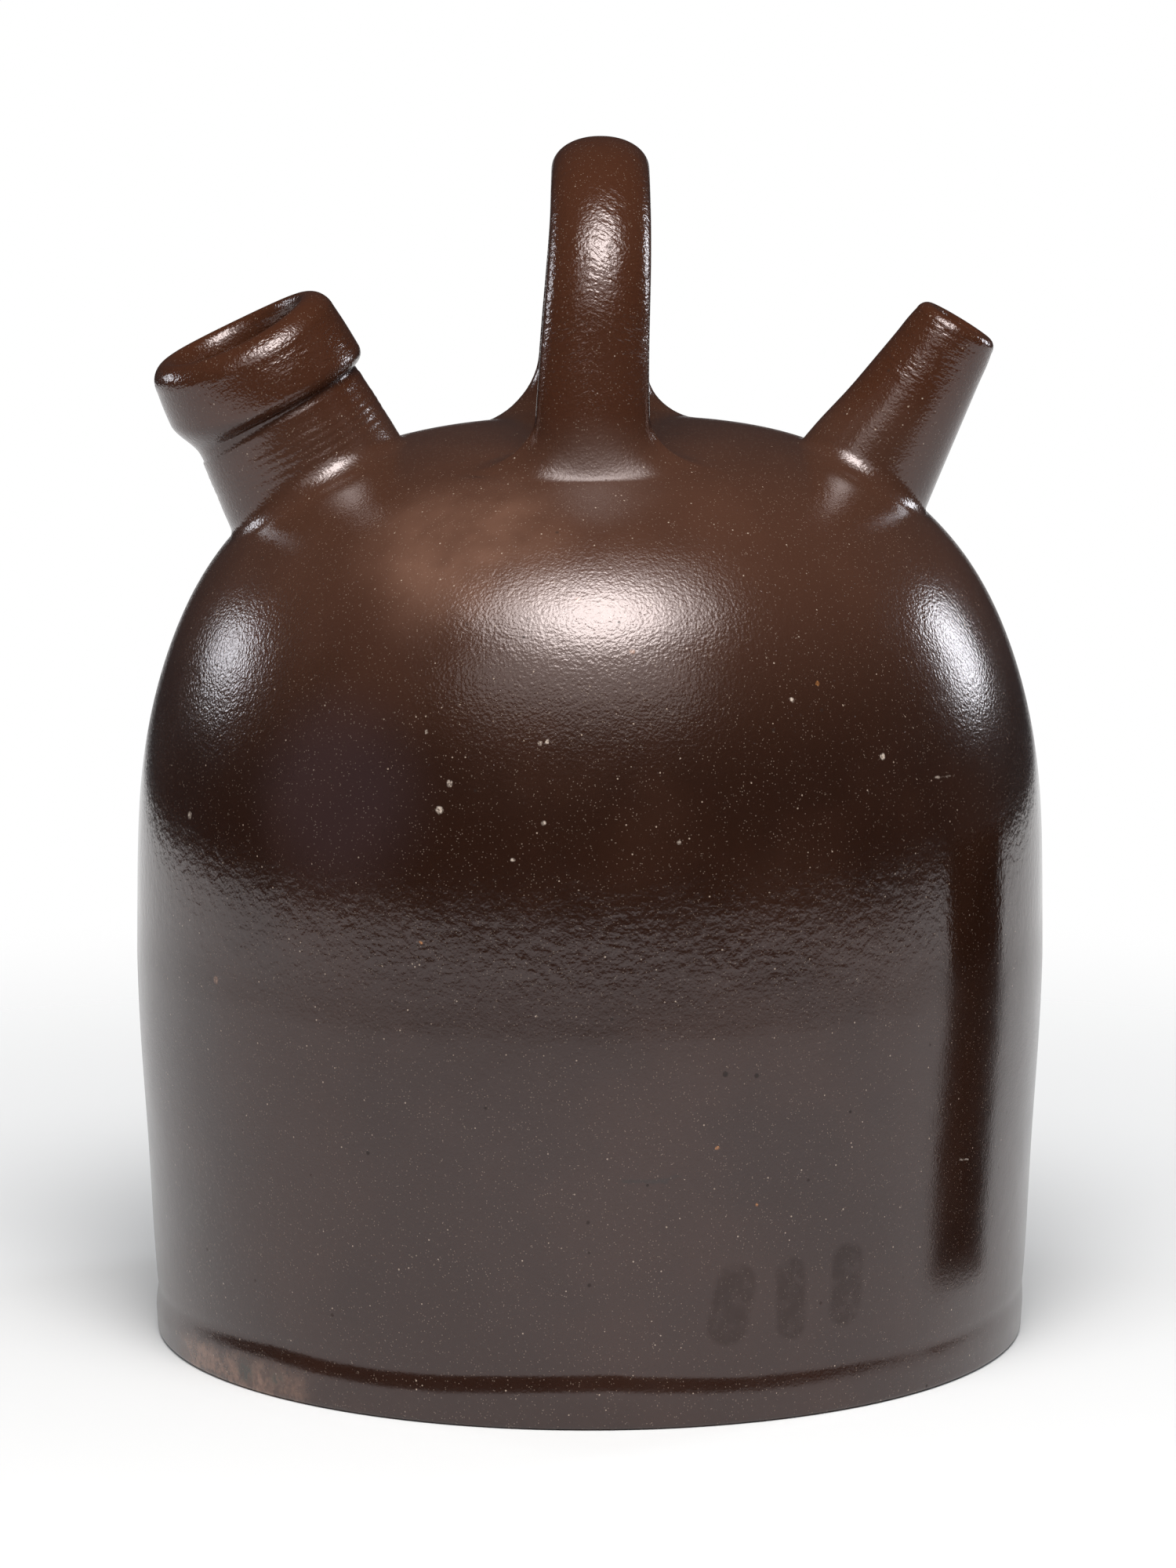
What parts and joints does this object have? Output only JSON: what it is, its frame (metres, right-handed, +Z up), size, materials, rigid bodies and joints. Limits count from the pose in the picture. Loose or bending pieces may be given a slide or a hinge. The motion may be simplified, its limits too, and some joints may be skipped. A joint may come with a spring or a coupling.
{
  "type": "harvest jug",
  "caption": "Glazed stoneware harvest jug in one piece, with a domed body, a collared filling spout, a narrow drinking spout and a stirrup handle over the crown.",
  "frame": {"origin": "centre of the foot's underside", "axes": "+Z up, -X towards the filling spout, +X towards the drinking spout, the handle spans from -Y to +Y"},
  "size_m": [0.2, 0.2, 0.2646],
  "materials": {
    "glaze": "glossy dark brown slip glaze with a fine orange peel, thin and tan at part of the foot"
  },
  "bodies": {
    "root": {"jug": "glaze"}
  },
  "joints": []
}
